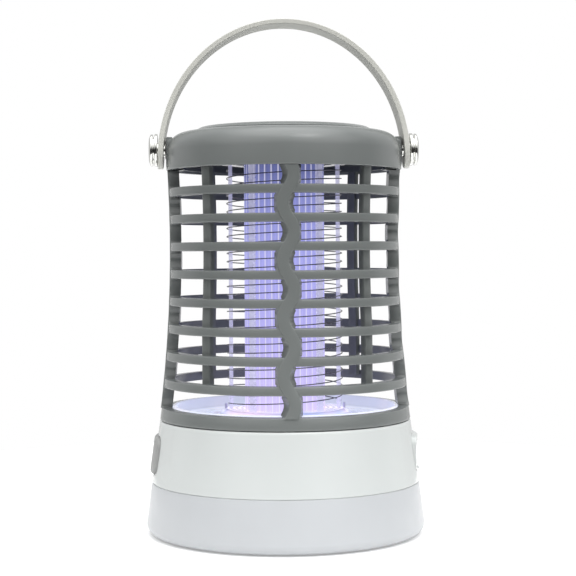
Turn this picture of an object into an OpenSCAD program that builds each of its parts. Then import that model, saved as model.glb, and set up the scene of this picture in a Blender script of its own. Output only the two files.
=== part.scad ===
// Rechargeable camping bug zapper with a night light and a carrying handle.
// Frame: origin at the centre of the footprint on the table, +Z up,
// front towards -Y, power button on the -X side, charging port on the +X side.

/* [Base] */
// Largest diameter of the base, near the table
base_d = 120; // [116:1:124]
// Height of the seam between the diffuser and the white housing
seam_z = 22.5; // [20:0.5:25]
// Height of the top of the white housing
housing_top_z = 49; // [48:0.5:50]
// Wall of the moulded shells
wall = 2.3; // [2:0.1:2.6]
// Radius of the rounded bottom edge
base_edge_r = 4.2; // [3:0.1:5]

/* [Cage] */
// Outer radius of the cage at its waist
waist_r = 49.3; // [49:0.1:49.6]
// Height of the waist
waist_z = 124; // [120:1:128]
// Radius of the long curve that the cage flares along
flare_r = 568; // [540:1:600]
// Number of rings between the cap and the bottom ring
ring_count = 8; // [6:1:8]
// Distance from one ring to the next
ring_pitch = 11.7; // [11.6:0.05:11.8]
// Height of one ring
ring_h = 3.6; // [3:0.1:4]
// Depth of a ring, measured towards the axis
ring_depth = 4; // [3.5:0.1:4.5]
// Sideways swing of the wavy bars
wave_swing = 2.3; // [2:0.1:3]
// Width of the wavy bars
wave_w = 5.2; // [5:0.1:6]
// Angle that the cage turns through to unlock
twist_angle = 15; // [12:1:16]

/* [Cap] */
// Radius of the cap's lower edge
cap_r = 51; // [50.9:0.05:51.05]
// Height of the cap's lower edge
cap_bottom_z = 156.6; // [156.4:0.1:156.8]
// Height of the cap's shoulder
cap_top_z = 173; // [172.8:0.1:173.2]
// Radius of the rounded shoulder
cap_edge_r = 8.5; // [8:0.1:9]
// Radius of the disc let into the top
disc_r = 38.8; // [36:0.1:39]

/* [Handle] */
// Height of the handle's pivots
pivot_z = 165.6; // [165.4:0.1:165.8]
// Height of the top of the handle
handle_top_z = 221.5; // [218:0.5:225]
// Width of the strap
strap_w = 16.5; // [15:0.5:17]
// Thickness of the strap at its top
strap_t = 2; // [1.8:0.1:2.2]

/* [Grid and lamp] */
// Radius of the wound wires' centre line
grid_r = 24.9; // [24.8:0.05:25.1]
// Diameter of a grid wire
grid_wire_d = 0.6; // [0.5:0.1:0.8]
// Distance between neighbouring wires
wire_gap = 3.6; // [3.4:0.1:4]
// Radius of the ribbed lamp tube
lamp_r = 17.4; // [17:0.1:18]
// Number of ribs round the lamp tube
lamp_ribs = 36; // [24:1:40]

/* [Controls] */
// Width of the power button and of the port cover
pad_w = 29; // [26:1:32]
// Height of the power button and of the port cover
pad_h = 15.2; // [14:0.1:16]
// How far the power button travels
button_travel = 0.8; // [0.6:0.1:0.8]

/* [Hidden] */
$fn = 96;
EPS = 0.01;
BASE_R = base_d / 2;
BODY_GAP = 0.3;                      // clearance between pieces that move apart
CAGE_Z = housing_top_z + BODY_GAP;   // underside of the cage
CAGE_RIM_TOP = CAGE_Z + 5.3;         // top of the cage's bottom ring
RING_1_Z = 147;                      // centre of the top ring
FLOOR_Z = 0.5;                       // underside of the shells, just above the feet
SHELF_Z = housing_top_z - 0.6;       // top of the deck inside the housing
DECK_T = 1.8;
COVER_TOP_Z = 4;
SEAM_R = cage_r(CAGE_Z) + 3.7;       // outer radius at the diffuser seam
PAD_Z = 34.5;                        // centre of the button and the port cover
PAD_CORNER_R = 4;
PORT_HINGE_X = 57;                   // line that the port cover bends about
PORT_HINGE_Z = 28;
BEAD_R = 0.5;
DISH_R = 48.8;
DISH_FLOOR_Z = SHELF_Z + 1.2;
DISH_RIM_Z = 55.2;
HUB_TOP_Z = DISH_FLOOR_Z + 4;
GRID_TOP_Z = 161;
TOP_HUB_Z = GRID_TOP_Z - 2.2;
POST_R = 23.35;                      // centre of a grid post
POST_SPREAD = 52.5;                  // from the posts on the X axis to their neighbours
POST_ANGLES = [0, POST_SPREAD, 180 - POST_SPREAD, 180, 180 + POST_SPREAD, -POST_SPREAD];
CEILING_Z = 162.3;
COLLAR_R = 48.3;                      // collar of the cage, inside the cap
BOSS_R = 44;                         // screw bosses in the base
BOSS_ANGLES = [45, 135, 225, 315];
CAP_SCREW_R = 30;
LUG_ANGLES = [60, 180, 300];
LUG_X = 50.9;                        // outer face of the pads that carry the pivots
STRAP_IN_X = 52.1;                   // inner face of the handle's tabs
STRAP_OUT_X = 54.4;
STRAP_CENTRE_Z = 161.3;              // centre of the handle's ellipse
SHOULDER_R = 3;                      // shoulder of a pivot screw
PIVOT_CLEARANCE = 0.06;
PCB_T = 1.6;
LIGHT_BOARD_Z = 6;
MAIN_BOARD_Z = 12;
CELL_Z = 34;
CELL_Y = 14;
CELL_R = 9.2;
CELL_L = 65;

GREY = [0.47, 0.48, 0.47];
WHITE = [0.90, 0.91, 0.90];
MILK = [0.84, 0.85, 0.88];
STRAP_GREY = [0.78, 0.78, 0.76];
CLEAR = [0.85, 0.88, 0.98];
UV = [0.62, 0.55, 1.0];
METAL = [0.80, 0.80, 0.78];
BOARD_GREEN = [0.10, 0.35, 0.20];

// Outer radius of the cage at a height: a long arc about the waist.
function cage_r(z) = waist_r + pow(z - waist_z, 2) / (2 * flare_r);
// Outer radius of the white housing at a height.
function cone_r(z) = cage_r(CAGE_Z) + (housing_top_z - z) * 3.7 / (housing_top_z - seam_z);
// Points of an arc of radius r about c, from angle a to angle b.
function arc(c, r, a, b, n = 8) =
  [for (i = [0:n]) let (t = a + (b - a) * i / n) [c[0] + r * cos(t), c[1] + r * sin(t)]];

// ---------- shared shapes ----------

// A solid of revolution from [radius, height] points.
module turned(points) {
  rotate_extrude() polygon(points);
}

// An annulus from r1 to r2 between two heights.
module ring(r1, r2, z1, z2) {
  turned([[r1, z1], [r2, z1], [r2, z2], [r1, z2]]);
}

// A sector of an annulus, centred on angle a.
module sector(r1, r2, z1, z2, a, spread) {
  rotate([0, 0, a - spread / 2]) rotate_extrude(angle = spread)
    polygon([[r1, z1], [r2, z1], [r2, z2], [r1, z2]]);
}

// Children repeated at each angle of a list, at a radius.
module around(angles, r) {
  for (a = angles) rotate([0, 0, a]) translate([r, 0, 0]) children();
}

// A prism along X with the outline of the button and the port cover, grown by g all round.
module pad_prism(g, x1, x2) {
  translate([x1, 0, PAD_Z]) rotate([90, 0, 90]) linear_extrude(x2 - x1)
    offset(PAD_CORNER_R + g) square([pad_w - 2 * PAD_CORNER_R, pad_h - 2 * PAD_CORNER_R], center = true);
}

// A conical shell that follows the housing, from depth d1 to d2 inside its surface.
module cone_band(d1, d2, z1 = 24, z2 = 46) {
  turned([[cone_r(z1) - d2, z1], [cone_r(z1) - d1, z1], [cone_r(z2) - d1, z2], [cone_r(z2) - d2, z2]]);
}

// ---------- base ----------

module base_housing() color(WHITE) {
  trough_z = 45.6;
  inner_z = trough_z - DECK_T;
  difference() {
    union() {
      difference() {
        turned([[cone_r(seam_z), seam_z], [cone_r(housing_top_z), housing_top_z], [51.8, housing_top_z],
          [51.8, trough_z], [49.2, trough_z], [49.2, SHELF_Z], [7, SHELF_Z], [7, SHELF_Z - DECK_T],
          [47.2, SHELF_Z - DECK_T], [47.2, inner_z], [cone_r(inner_z) - wall, inner_z],
          [cone_r(seam_z) - wall, seam_z]]);
        pad_prism(0.4, -60, -46);
        pad_prism(0.4, 46, 60);
        for (a = LUG_ANGLES) {
          sector(51.6, 53.1, 45.9, 47.9, a + twist_angle / 2, twist_angle + 9.4);
          sector(51.7, 53.3, 47, housing_top_z + 1, a + twist_angle, 8.8);
        }
      }
      port_pad();
      translate([-48, -6, 39.4]) cube([4, 12, 8]);
      for (s = [-1, 1]) translate([40, s * 9.6 - 1.2, 29.8]) cube([6, 2.4, 17.5]);
      around(BOSS_ANGLES, BOSS_R) translate([0, 0, COVER_TOP_Z]) cylinder(d = 7, h = SHELF_Z - DECK_T - COVER_TOP_Z + 1);
    }
    around(BOSS_ANGLES, BOSS_R) translate([0, 0, COVER_TOP_Z - 1]) cylinder(d = 2.9, h = 14);
    around([0, 180], grid_r + 0.8) translate([0, 0, SHELF_Z - 3]) cylinder(d = 1.8, h = 4);
    translate([44, -4.8, 32.5]) cube([12, 9.6, 3.6]);
    translate([-46.65, -9, 27]) cube([1.3, 18, 14.05]);
    translate([37, -9.05, 31.35]) cube([13, 18.1, 1.3]);
  }
}

// A pocket behind the port cover, with the charging slot through its floor.
module port_pad() {
  z1 = PAD_Z - pad_h / 2 - 1.8;
  z2 = PAD_Z + pad_h / 2 + 1.8;
  difference() {
    intersection() {
      turned([[50.3, z1], [cone_r(z1) - 1, z1], [cone_r(z2) - 1, z2], [50.3, z2]]);
      pad_prism(1.8, 40, 60);
    }
    intersection() {
      ring(52.4, 62, z1 - 1, z2 + 1);
      pad_prism(0.4, 40, 62);
    }
  }
}

module diffuser() color(MILK) {
  edge = arc([BASE_R - base_edge_r, FLOOR_Z + base_edge_r], base_edge_r, 0, -80, 8);
  turned(concat(
    [[53.6, seam_z - 2], [53.6, seam_z + 2.5], [cone_r(seam_z + 2.5) - wall - 0.1, seam_z + 2.5],
      [cone_r(seam_z) - wall - 0.1, seam_z], [cone_r(seam_z), seam_z]],
    edge,
    [[55.1, FLOOR_Z], [55.1, 2.1], [51, 2.1], [51, COVER_TOP_Z], [55.4, COVER_TOP_Z],
      [BASE_R - wall - 0.3, FLOOR_Z + base_edge_r + 2], [cone_r(seam_z) - wall - 0.3, seam_z - 2]]));
}

module bottom_cover() color(WHITE) {
  difference() {
    union() {
      turned([[0, FLOOR_Z], [54.9, FLOOR_Z], [54.9, 2.0], [50.7, 2.0], [50.7, COVER_TOP_Z - 0.1], [0, COVER_TOP_Z - 0.1]]);
      around([0, 90, 180, 270], 32) cylinder(d = 6, h = LIGHT_BOARD_Z);
    }
    around(BOSS_ANGLES, BOSS_R) {
      translate([0, 0, FLOOR_Z - 1]) cylinder(d = 6.4, h = 3.2);
      cylinder(d = 3.2, h = 10);
    }
    around([0, 90, 180, 270], BOSS_R) translate([0, 0, FLOOR_Z - 1]) cylinder(d = 10.2, h = 1.8);
    around([0, 90, 180, 270], 32) translate([0, 0, 2.5]) cylinder(d = 2.2, h = 10);
  }
}

module base_screws() color(METAL) {
  around(BOSS_ANGLES, BOSS_R) {
    translate([0, 0, 1]) cylinder(d = 5.6, h = 1.7);
    translate([0, 0, 2.6]) cylinder(d = 2.8, h = 12);
  }
}

module feet() color([0.3, 0.3, 0.3]) {
  around([0, 90, 180, 270], BOSS_R) cylinder(d = 10, h = 1.3);
}

module night_light_board() color(WHITE) {
  difference() {
    translate([0, 0, LIGHT_BOARD_Z]) cylinder(r = 39.8, h = PCB_T);
    translate([0, 0, LIGHT_BOARD_Z - 1]) cylinder(r = 9, h = 4);
    around([0, 90, 180, 270], 32) translate([0, 0, LIGHT_BOARD_Z - 1]) cylinder(d = 2.4, h = 4);
  }
}

module night_light_leds() color([0.95, 0.9, 0.6]) {
  around([for (i = [0:11]) 30 * i + 15], 35.5)
    translate([-2.5, -2.5, LIGHT_BOARD_Z + PCB_T]) cube([5, 5, 1.6]);
}

BOARD_HOLES = [[-27, -20], [27, -20], [-27, 14], [27, 14]];

module board_spacers() color(METAL) {
  for (p = BOARD_HOLES) translate([p[0], p[1], LIGHT_BOARD_Z + PCB_T])
    cylinder(d = 4.5, h = MAIN_BOARD_Z - LIGHT_BOARD_Z - PCB_T);
}

module main_board() color(BOARD_GREEN) {
  difference() {
    translate([-31, -24, MAIN_BOARD_Z]) cube([62, 42, PCB_T]);
    for (p = BOARD_HOLES) translate([p[0], p[1], MAIN_BOARD_Z - 1]) cylinder(d = 2.4, h = 4);
  }
}

module control_chip() color([0.12, 0.12, 0.13]) {
  translate([14, 2, MAIN_BOARD_Z + PCB_T]) cube([10, 6, 1.6]);
}

module hv_transformer() color([0.85, 0.75, 0.3]) {
  z = MAIN_BOARD_Z + PCB_T;
  translate([-9, -17, z]) cube([18, 3, 15]);
  translate([-9, -3, z]) cube([18, 3, 15]);
  translate([-5, -14.5, z + 3]) cube([10, 12, 9]);
}

module hv_capacitors() color([0.15, 0.25, 0.6]) {
  for (x = [-20, 20]) translate([x, -10, MAIN_BOARD_Z + PCB_T]) cylinder(d = 10, h = 16);
}

module battery_cell() color([0.25, 0.45, 0.75]) {
  translate([-CELL_L / 2, CELL_Y, CELL_Z]) rotate([0, 90, 0]) {
    cylinder(r = CELL_R, h = CELL_L - 1);
    cylinder(r = 3, h = CELL_L);
  }
}

// An open cradle hung from the deck.
module battery_holder() color([0.15, 0.15, 0.16]) {
  w = 2 * CELL_R + 4;
  translate([-CELL_L / 2 - 4, CELL_Y - w / 2, CELL_Z - 6]) difference() {
    cube([CELL_L + 8, w, SHELF_Z - DECK_T - CELL_Z + 6]);
    translate([2, 2, -1]) cube([CELL_L + 4, w - 4, 40]);
  }
}

module cell_contacts() color(METAL) {
  for (x = [-CELL_L / 2 - 1.2, CELL_L / 2 + 0.2]) translate([x, CELL_Y - 4, CELL_Z - 4]) cube([1, 8, 8]);
}

module charge_board() color(BOARD_GREEN) {
  translate([37.4, -9, 31.4]) cube([12.3, 18, 1.2]);
}

module usb_socket() color(METAL) {
  difference() {
    translate([42, -4.5, 32.6]) cube([8.8, 9, 3.3]);
    translate([43, -4.1, 33]) cube([9, 8.2, 2.5]);
  }
}

module switch_board() color(BOARD_GREEN) {
  translate([-46.6, -8, 28]) cube([1.2, 16, 13]);
}

module tact_switch() color([0.15, 0.15, 0.16]) {
  translate([-49.4, -3, PAD_Z - 3]) cube([2.8, 6, 6]);
  translate([-50.2, 0, PAD_Z]) rotate([0, 90, 0]) cylinder(d = 3.2, h = 1);
}

// ---------- controls ----------

module power_button() color([0.58, 0.58, 0.57]) {
  intersection() {
    cone_band(-1.5, 2.9);
    pad_prism(0, -64, -46);
  }
  intersection() {
    cone_band(2.7, 3.7);
    pad_prism(1.2, -64, -40);
  }
  translate([-53.6, 0, PAD_Z]) rotate([0, 90, 0]) cylinder(d = 4, h = 2.3);
}

module port_cover() color(WHITE) {
  intersection() {
    ring(54.6, 57.2, 26, 43);
    pad_prism(0, 46, 60);
    translate([46, -20, PORT_HINGE_Z + BEAD_R + 0.15]) cube([14, 40, 20]);
  }
  translate([52.9, -4, 33.2]) cube([2, 8, 2.2]);
}

// The rubber strap that the cover bends on, fixed in the wall, with a bead along the fold.
module port_strap() color(WHITE) {
  intersection() {
    ring(52.5, 56.6, 26, 29);
    translate([50, -7, 26.5]) cube([10, 14, 1.4]);
  }
  translate([PORT_HINGE_X, -7, PORT_HINGE_Z]) rotate([-90, 0, 0]) cylinder(r = BEAD_R, h = 14);
}

// ---------- killing grid and lamp ----------

module floor_dish() color(CLEAR) {
  difference() {
    turned([[0, SHELF_Z], [DISH_R, SHELF_Z], [DISH_R, DISH_RIM_Z], [DISH_R - 1.3, DISH_RIM_Z],
      [DISH_R - 1.3, DISH_FLOOR_Z + 1], [DISH_R - 2.3, DISH_FLOOR_Z], [0, DISH_FLOOR_Z]]);
    cylinder(r = 5, h = 60);
    around([0, 180], grid_r + 0.8) cylinder(d = 1.8, h = 60);
  }
}

module grid_base() color(CLEAR) {
  difference() {
    turned([[lamp_r + 0.6, DISH_FLOOR_Z], [29, DISH_FLOOR_Z], [29, DISH_FLOOR_Z + 1.5], [27, HUB_TOP_Z - 1],
      [26, HUB_TOP_Z], [lamp_r + 0.6, HUB_TOP_Z]]);
    around([0, 180], grid_r + 0.8) cylinder(d = 1.8, h = 60);
  }
}

module grid_posts() color(CLEAR) {
  around(POST_ANGLES, POST_R) translate([-0.85, -1.5, HUB_TOP_Z]) cube([1.7, 3, TOP_HUB_Z - HUB_TOP_Z]);
}

module grid_top() color(CLEAR) {
  ring(lamp_r + 0.6, 27, TOP_HUB_Z, GRID_TOP_Z);
}

// A wire wound as a helix: a square tube swept through points on the winding.
module winding(start_angle) {
  steps = 20;
  lead = 2 * wire_gap;
  z1 = HUB_TOP_Z + 2.5;
  turns = floor((TOP_HUB_Z - 1 - z1) / lead * 2) / 2;
  n = steps * turns;
  h = grid_wire_d / 2;
  pts = [for (i = [0:n]) let (a = start_angle + 360 * i / steps, z = z1 + lead * i / steps)
    for (s = [[-h, 0], [0, -h], [h, 0], [0, h]])
      [(grid_r + s[0]) * cos(a), (grid_r + s[0]) * sin(a), z + s[1]]];
  walls = [for (i = [0:n - 1]) for (k = [0:3])
    let (a = 4 * i + k, b = 4 * i + (k + 1) % 4) each [[a, b, a + 4], [b, b + 4, a + 4]]];
  e = 4 * n;
  polyhedron(pts, concat(walls, [[3, 2, 1], [3, 1, 0], [e, e + 1, e + 2], [e, e + 2, e + 3]]));
}

module grid_wire_live() color(METAL) winding(10);

module grid_wire_return() color(METAL) winding(190);

// Two insulated leads from the converter up to the windings.
module grid_leads() color([0.2, 0.2, 0.2]) {
  around([0, 180], grid_r + 0.8) translate([0, 0, 28]) cylinder(d = 1, h = HUB_TOP_Z + 2 - 28);
}

module lamp_tube() color(UV) {
  rib_r = PI * lamp_r / lamp_ribs * 0.9;
  difference() {
    union() {
      translate([0, 0, DISH_FLOOR_Z]) cylinder(r = lamp_r - 0.8, h = GRID_TOP_Z - DISH_FLOOR_Z);
      around([for (i = [0:lamp_ribs - 1]) i * 360 / lamp_ribs], lamp_r - rib_r)
        translate([0, 0, DISH_FLOOR_Z + 0.4]) cylinder(r = rib_r, h = GRID_TOP_Z - DISH_FLOOR_Z - 0.8, $fn = 16);
    }
    translate([0, 0, DISH_FLOOR_Z - 1]) cylinder(r = lamp_r - 2.6, h = GRID_TOP_Z);
  }
}

module uv_board() color(WHITE) {
  translate([-6, -PCB_T / 2, DISH_FLOOR_Z]) cube([12, PCB_T, GRID_TOP_Z - 2 - DISH_FLOOR_Z]);
}

module uv_leds() color([0.9, 0.85, 0.4]) {
  for (i = [0:7], s = [-1, 1])
    translate([-1.75, s > 0 ? PCB_T / 2 : -PCB_T / 2 - 1.2, 60 + 12.5 * i]) cube([3.5, 1.2, 2.8]);
}

// ---------- cage ----------

// A strip that follows the cage's curve, between two depths and two heights.
function strip(d1, d2, z1, z2, n) = concat(
  [for (i = [0:n]) let (z = z1 + (z2 - z1) * i / n) [cage_r(z) - d1, z]],
  [for (i = [n:-1:0]) let (z = z1 + (z2 - z1) * i / n) [cage_r(z) - d2, z]]);

// Height of the centre of ring i, counted from the top.
function ring_z(i) = RING_1_Z - ring_pitch * i;

// Sideways place of a wavy bar's centre line at a height, and half the bar's level width there.
function wave_x(z) = wave_swing * sin(180 * (z - RING_1_Z) / ring_pitch);
function wave_half(z) = wave_w / 2 *
  sqrt(1 + pow(PI * wave_swing / ring_pitch * cos(180 * (z - RING_1_Z) / ring_pitch), 2));

module cage_ring(z) {
  r = cage_r(z);
  h = ring_h / 2;
  c = 0.5;
  turned([[r - ring_depth, z - h], [r - c, z - h], [r, z - h + c], [r, z + h - c], [r - c, z + h],
    [r - ring_depth, z + h]]);
}

module straight_bar() {
  spread = 5.6;
  rotate([0, 0, -spread / 2]) rotate_extrude(angle = spread)
    polygon(strip(2.4, 5.4, ring_z(ring_count - 1), cap_bottom_z, 6));
}

module wavy_bar() {
  z1 = CAGE_RIM_TOP - 0.5;
  n = 63;
  side = [for (i = [0:n]) z1 + (cap_bottom_z - z1) * i / n];
  intersection() {
    turned(strip(-0.4, 4.5, z1, cap_bottom_z, 9));
    translate([40, 0, 0]) rotate([90, 0, 90]) linear_extrude(20)
      polygon(concat([for (z = side) [wave_x(z) - wave_half(z), z]],
        [for (i = [n:-1:0]) [wave_x(side[i]) + wave_half(side[i]), side[i]]]));
  }
}

module cage() color(GREY) {
  // bottom ring with the skirt that drops into the housing
  turned([[49.6, CAGE_Z], [49.8, CAGE_Z], [49.8, 46.2], [51.3, 46.2], [51.3, CAGE_Z], [cage_r(CAGE_Z), CAGE_Z],
    [cage_r(CAGE_RIM_TOP) , CAGE_RIM_TOP - 0.8], [cage_r(CAGE_RIM_TOP) - 0.8, CAGE_RIM_TOP], [49.6, CAGE_RIM_TOP]]);
  for (a = LUG_ANGLES) sector(51, 52.7, 46.3, 47.5, a, 8);
  for (i = [0:ring_count - 1]) cage_ring(ring_z(i));
  for (a = [45, 135, 225, 315]) rotate([0, 0, a]) straight_bar();
  for (a = [0, 90, 180, 270]) rotate([0, 0, a]) wavy_bar();
  cage_ceiling();
}

// Collar inside the cap, and the plate that closes the top.
module cage_ceiling() {
  difference() {
    union() {
      turned([[0, CEILING_Z], [46.2, CEILING_Z], [46.2, 155.9], [COLLAR_R, 155.9], [COLLAR_R, CEILING_Z + 2], [0, CEILING_Z + 2]]);
      around(BOSS_ANGLES, CAP_SCREW_R) translate([0, 0, CEILING_Z + 1]) cylinder(d = 7, h = 6);
    }
    around(BOSS_ANGLES, CAP_SCREW_R) translate([0, 0, CEILING_Z - 1]) cylinder(d = 2.9, h = 12);
    for (s = [0, 180]) rotate([0, 0, s]) translate([42.5, -6, 160]) cube([10, 12, 10]);
  }
}

// ---------- cap ----------

module cap() color(GREY) {
  top = CEILING_Z + 7;
  shoulder = [cap_r - 0.2 - cap_edge_r, cap_top_z - cap_edge_r];
  difference() {
    union() {
      turned(concat([[0, top], [shoulder[0], top]],
        arc(shoulder, cap_edge_r - wall, 80, 10, 6),
        [[cap_r - wall, cap_bottom_z], [cap_r, cap_bottom_z]],
        arc(shoulder, cap_edge_r, 0, 90, 12),
        [[disc_r + 0.4, cap_top_z], [disc_r + 0.4, cap_top_z - 1.4], [0, cap_top_z - 1.4]]));
      for (s = [0, 180]) rotate([0, 0, s]) pivot_lug();
    }
    for (s = [0, 180]) rotate([0, 0, s]) translate([40, 0, pivot_z]) rotate([0, 90, 0]) cylinder(d = 4.1, h = 20);
    around(BOSS_ANGLES, CAP_SCREW_R) {
      translate([0, 0, top - 1]) cylinder(d = 3.2, h = 10);
      translate([0, 0, cap_top_z - 2.6]) cylinder(d = 6.2, h = 5);
    }
  }
}

// Flat-faced pad on the cap's side, with the screw boss behind it.
module pivot_lug() {
  intersection() {
    translate([44, 0, 164.35]) rotate([90, 0, 90]) linear_extrude(LUG_X - 44)
      offset(2.5) square([7, 8.5], center = true);
    union() {
      translate([COLLAR_R + 0.1, -10, 150]) cube([10, 20, 30]);
      translate([40, -10, CEILING_Z + 2.3]) cube([20, 20, 10]);
    }
  }
  translate([43, 0, pivot_z]) rotate([0, 90, 0]) cylinder(d = 8.4, h = 6);
}

module cap_disc() color(GREY) {
  z = cap_top_z - 1.4;
  turned([[0, z], [disc_r - 0.7, z], [disc_r - 0.7, cap_top_z + 0.35], [disc_r, cap_top_z + 0.35],
    [disc_r, cap_top_z + 1.3], [disc_r - 0.7, cap_top_z + 2], [0, cap_top_z + 2]]);
}

module cap_screws() color(METAL) {
  around(BOSS_ANGLES, CAP_SCREW_R) {
    translate([0, 0, cap_top_z - 2.6]) cylinder(d = 5.6, h = 1.1);
    translate([0, 0, CEILING_Z + 0.5]) cylinder(d = 2.8, h = cap_top_z - 2.5 - CEILING_Z - 0.5);
  }
}

// ---------- handle ----------

module pivot_washers() color(METAL) {
  for (s = [0, 180]) rotate([0, 0, s]) translate([LUG_X, 0, pivot_z]) rotate([0, 90, 0]) difference() {
    cylinder(r = 4, h = 0.5);
    translate([0, 0, -1]) cylinder(r = SHOULDER_R + 0.1, h = 3);
  }
}

// Shoulder screw along X: thread, shoulder, flange, neck and domed head.
module pivot_screw() {
  translate([44, 0, pivot_z]) rotate([0, 90, 0]) {
    cylinder(r = 2, h = LUG_X - 44);
    translate([0, 0, LUG_X - 44]) cylinder(r = SHOULDER_R, h = 54.8 - LUG_X);
    rotate_extrude() polygon([[0, 10.7], [7.1, 10.7], [7.1, 11.8], [6.5, 12.1], [5.6, 12.1], [5.6, 12.7], [6.9, 12.7],
      [6.9, 13.5], [6.2, 14.1], [4.4, 14.4], [3.2, 14.4], [3.2, 13.6], [0, 13.6]]);
  }
}

module pivot_screw_right() color(METAL) pivot_screw();

module pivot_screw_left() color(METAL) rotate([0, 0, 180]) pivot_screw();

// The strap is the upper half of an ellipse, with round tabs at the pivots.
module handle() color(STRAP_GREY) {
  n = 24;
  rise = handle_top_z - STRAP_CENTRE_Z;
  tilt = asin((pivot_z - STRAP_CENTRE_Z) / rise);
  difference() {
    union() {
      translate([0, strap_w / 2, STRAP_CENTRE_Z]) rotate([90, 0, 0]) linear_extrude(strap_w) polygon(concat(
        [for (i = [0:n]) let (t = tilt + (180 - 2 * tilt) * i / n) [STRAP_OUT_X * cos(t), rise * sin(t)]],
        [for (i = [n:-1:0]) let (t = tilt + (180 - 2 * tilt) * i / n)
          [STRAP_IN_X * cos(t), (rise - strap_t) * sin(t)]]));
      for (s = [0, 180]) rotate([0, 0, s]) translate([STRAP_IN_X, 0, pivot_z]) rotate([0, 90, 0])
        cylinder(d = strap_w, h = STRAP_OUT_X - STRAP_IN_X);
    }
    for (s = [0, 180]) rotate([0, 0, s]) translate([50, 0, pivot_z]) rotate([0, 90, 0])
      cylinder(r = SHOULDER_R + PIVOT_CLEARANCE, h = 6);
  }
}

base_housing();
diffuser();
bottom_cover();
base_screws();
feet();
night_light_board();
night_light_leds();
board_spacers();
main_board();
control_chip();
hv_transformer();
hv_capacitors();
battery_holder();
battery_cell();
cell_contacts();
charge_board();
usb_socket();
switch_board();
tact_switch();
floor_dish();
grid_base();
grid_posts();
grid_top();
grid_wire_live();
grid_wire_return();
grid_leads();
lamp_tube();
uv_board();
uv_leds();
power_button();
port_cover();
port_strap();
cage();
cap();
cap_disc();
cap_screws();
pivot_washers();
pivot_screw_left();
pivot_screw_right();
handle();
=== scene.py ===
"""Looks for a rechargeable bug zapper with a clear dish, a wound grid round a lit lamp, and a carrying handle.

Shapes are written in millimetres, in the CAD frame, and scaled to metres when a mesh is made.
"""

import math

import bmesh
import bpy
from mathutils import Matrix, Vector


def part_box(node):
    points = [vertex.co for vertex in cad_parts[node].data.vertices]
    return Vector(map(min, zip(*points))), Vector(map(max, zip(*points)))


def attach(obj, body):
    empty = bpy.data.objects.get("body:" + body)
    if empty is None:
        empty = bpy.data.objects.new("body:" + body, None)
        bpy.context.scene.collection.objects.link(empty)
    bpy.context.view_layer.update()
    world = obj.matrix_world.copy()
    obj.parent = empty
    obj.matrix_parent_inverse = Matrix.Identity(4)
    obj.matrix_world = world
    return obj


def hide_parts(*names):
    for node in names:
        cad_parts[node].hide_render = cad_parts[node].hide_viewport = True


MM = 0.001
SEGMENTS = 192  # round a full turn of a lathed piece

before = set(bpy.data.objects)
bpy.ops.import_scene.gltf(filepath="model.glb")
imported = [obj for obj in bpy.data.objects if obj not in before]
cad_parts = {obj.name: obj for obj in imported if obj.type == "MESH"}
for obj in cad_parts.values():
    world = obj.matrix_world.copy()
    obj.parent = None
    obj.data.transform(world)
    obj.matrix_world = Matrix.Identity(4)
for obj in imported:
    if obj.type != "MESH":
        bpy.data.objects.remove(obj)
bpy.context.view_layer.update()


def span(node):
    """A CAD node's lowest and highest corners, in millimetres."""
    lo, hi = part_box(node)
    return lo / MM, hi / MM


# ---------- sizes: the frame's where it has them, else as in the CAD source ----------

WAIST_R, WAIST_Z, FLARE_R = 49.3, 124.0, 568.0
WALL = 2.3  # of the housing and the cap
HOUSING_TOP = span("base_housing")[1].z
SEAM_Z = 22.5
CONE_GROWTH = 3.7  # how much wider the housing is at the seam than at its top
CAGE_BOTTOM = HOUSING_TOP + 0.3
CAGE_RIM_TOP = CAGE_BOTTOM + 5.3
CAP_BOTTOM, CAP_TOP = span("cap")[0].z, span("cap")[1].z
CAP_R = 51.0
CAP_EDGE_R = 8.5
DISC_TOP = span("cap_disc")[1].z
DISC_R = span("cap_disc")[1].x
RING_COUNT, RING_PITCH, RING_H = 8, 11.7, 3.6
TOP_RING_Z = 147.0
WAVE_SWING, WAVE_W = 2.3, 5.2
DISH_BOTTOM, DISH_TOP = span("floor_dish")[0].z, span("floor_dish")[1].z
DISH_R = span("floor_dish")[1].x
LAMP_BOTTOM, LAMP_TOP = span("lamp_tube")[0].z, span("lamp_tube")[1].z
LAMP_R, LAMP_RIBS = 17.4, 36
HANDLE_TOP = span("handle")[1].z
STRAP_W = span("handle")[1].y * 2
PIVOT_Z = (span("pivot_screw_right")[0].z + span("pivot_screw_right")[1].z) / 2
BASE_R = span("diffuser")[1].x
PAD_Z, PAD_W, PAD_H, PAD_CORNER = 34.5, 29.0, 15.2, 4.0  # the button and the port cover


def cage_r(z):
    """Outer radius of the cage: a long arc about its waist."""
    return WAIST_R + (z - WAIST_Z) ** 2 / (2 * FLARE_R)


def cone_r(z):
    """Outer radius of the white housing."""
    return cage_r(CAGE_BOTTOM) + (HOUSING_TOP - z) * CONE_GROWTH / (HOUSING_TOP - SEAM_Z)


# ---------- materials ----------


def srgb(r, g, b):
    """A linear colour from 0-255 display values."""
    return tuple(
        c / 255 / 12.92 if c / 255 <= 0.04045 else ((c / 255 + 0.055) / 1.055) ** 2.4
        for c in (r, g, b)
    ) + (1.0,)


def material(name, colour, roughness, **sockets):
    """A Principled material and its shader; sockets are named with underscores for spaces."""
    made = bpy.data.materials.new(name)
    made.use_nodes = True
    shader = made.node_tree.nodes["Principled BSDF"]
    shader.inputs["Base Color"].default_value = colour
    shader.inputs["Roughness"].default_value = roughness
    for key, value in sockets.items():
        shader.inputs[key.replace("_", " ")].default_value = value
    return made, shader


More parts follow.
